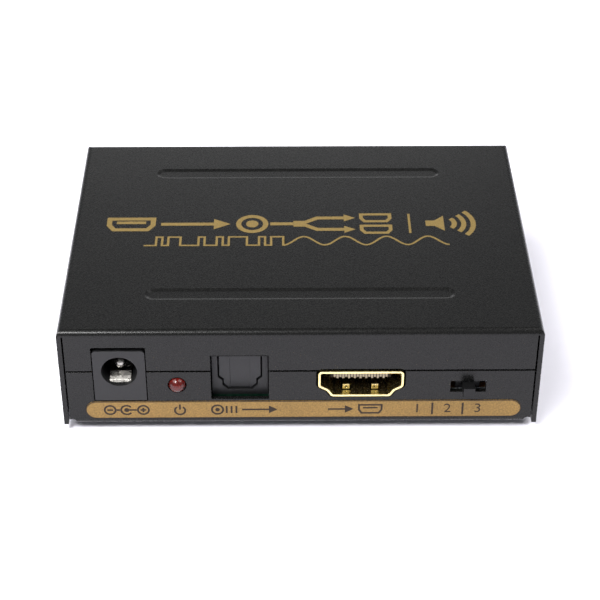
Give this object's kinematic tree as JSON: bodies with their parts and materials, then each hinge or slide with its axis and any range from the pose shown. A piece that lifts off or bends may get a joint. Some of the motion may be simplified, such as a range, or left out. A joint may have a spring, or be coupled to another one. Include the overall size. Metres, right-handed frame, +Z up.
{
  "type": "video splitter",
  "caption": "Video splitter in a folded black steel case, with video, optical, phono and DC power sockets and a mode switch.",
  "frame": {"origin": "on the surface it stands on, midway along and across the part's bounding box", "axes": "+X to the right seen from the front, +Y from the front panel to the rear panel, +Z up"},
  "size_m": [0.083, 0.0716, 0.0218],
  "materials": {
    "powder_coat": "fine-textured black powder coat",
    "gold_film": "satin gold printed film",
    "black_screw": "black oxide",
    "zinc_steel": "zinc plated",
    "foot_rubber": "matt",
    "green_board": "green solder mask over glass epoxy",
    "chip_epoxy": "moulded epoxy",
    "can_blue": "sleeved aluminium can",
    "crystal_can": "drawn can",
    "ferrite": "sintered",
    "capacitor_ceramic": "fired, with tinned ends",
    "resistor_ceramic": "fired, with tinned ends",
    "socket_plastic": "moulded, satin",
    "nickel": "nickel plated",
    "lamp_red": "tinted clear epoxy",
    "shutter_plastic": "moulded, satin",
    "emitter_plastic": "moulded",
    "gold_plate": "bright gold plate",
    "tongue_plastic": "moulded, glass filled",
    "contact_gold": "flash gold plate",
    "phono_white": "moulded",
    "phono_red": "moulded",
    "phenolic": "pressed laminate",
    "lever_black": "moulded"
  },
  "bodies": {
    "case": {"base_tray": "powder_coat", "top_cover": "powder_coat", "cover_screws": "black_screw", "board_standoffs": "zinc_steel", "board_screws": "zinc_steel", "rubber_feet": "foot_rubber", "front_legend_strip": "gold_film", "rear_legend_strip": "gold_film", "main_board": "green_board", "splitter_chip": "chip_epoxy", "audio_chip": "chip_epoxy", "audio_dac_chip": "chip_epoxy", "microcontroller": "chip_epoxy", "memory_chips": "chip_epoxy", "voltage_regulators": "chip_epoxy", "crystals": "crystal_can", "electrolytic_capacitors": "can_blue", "power_inductors": "ferrite", "chip_capacitors": "capacitor_ceramic", "chip_resistors": "resistor_ceramic", "esd_arrays": "chip_epoxy", "dc_jack_body": "socket_plastic", "dc_jack_pin": "nickel", "dc_jack_spring": "nickel", "dc_jack_switch_contact": "nickel", "power_led_lens": "lamp_red", "power_led_leads": "zinc_steel", "optical_housing": "socket_plastic", "shutter_pivot": "zinc_steel", "shutter_spring": "zinc_steel", "optical_emitter": "emitter_plastic", "video_in_shell": "gold_plate", "video_in_insulator": "tongue_plastic", "video_in_contacts": "contact_gold", "video_out1_shell": "gold_plate", "video_out1_insulator": "tongue_plastic", "video_out1_contacts": "contact_gold", "video_out2_shell": "gold_plate", "video_out2_insulator": "tongue_plastic", "video_out2_contacts": "contact_gold", "phono_housing": "emitter_plastic", "phono_left_shell": "nickel", "phono_right_shell": "nickel", "phono_left_insulator": "phono_white", "phono_right_insulator": "phono_red", "phono_left_contact": "contact_gold", "phono_right_contact": "contact_gold", "mode_switch_frame": "zinc_steel", "mode_switch_base": "phenolic", "mode_switch_terminals": "contact_gold"},
    "shutter": {"optical_shutter": "shutter_plastic"},
    "switch_slider": {"mode_switch_lever": "lever_black", "mode_switch_wiper": "contact_gold"}
  },
  "joints": [
    {"name": "shutter_hinge", "type": "hinge", "parent": "case", "child": "shutter", "pos_m": [-0.0105, -0.031, 0.01585], "axis": [1, 0, 0], "range_deg": [0, 82], "stiffness_Nm_per_rad": 0.00004, "springref_deg": -34.38, "deforming": ["shutter_spring"]},
    {"name": "mode_switch_slide", "type": "slide", "parent": "case", "child": "switch_slider", "axis": [1, 0, 0], "range_m": [-0.002, 0.002]}
  ]
}
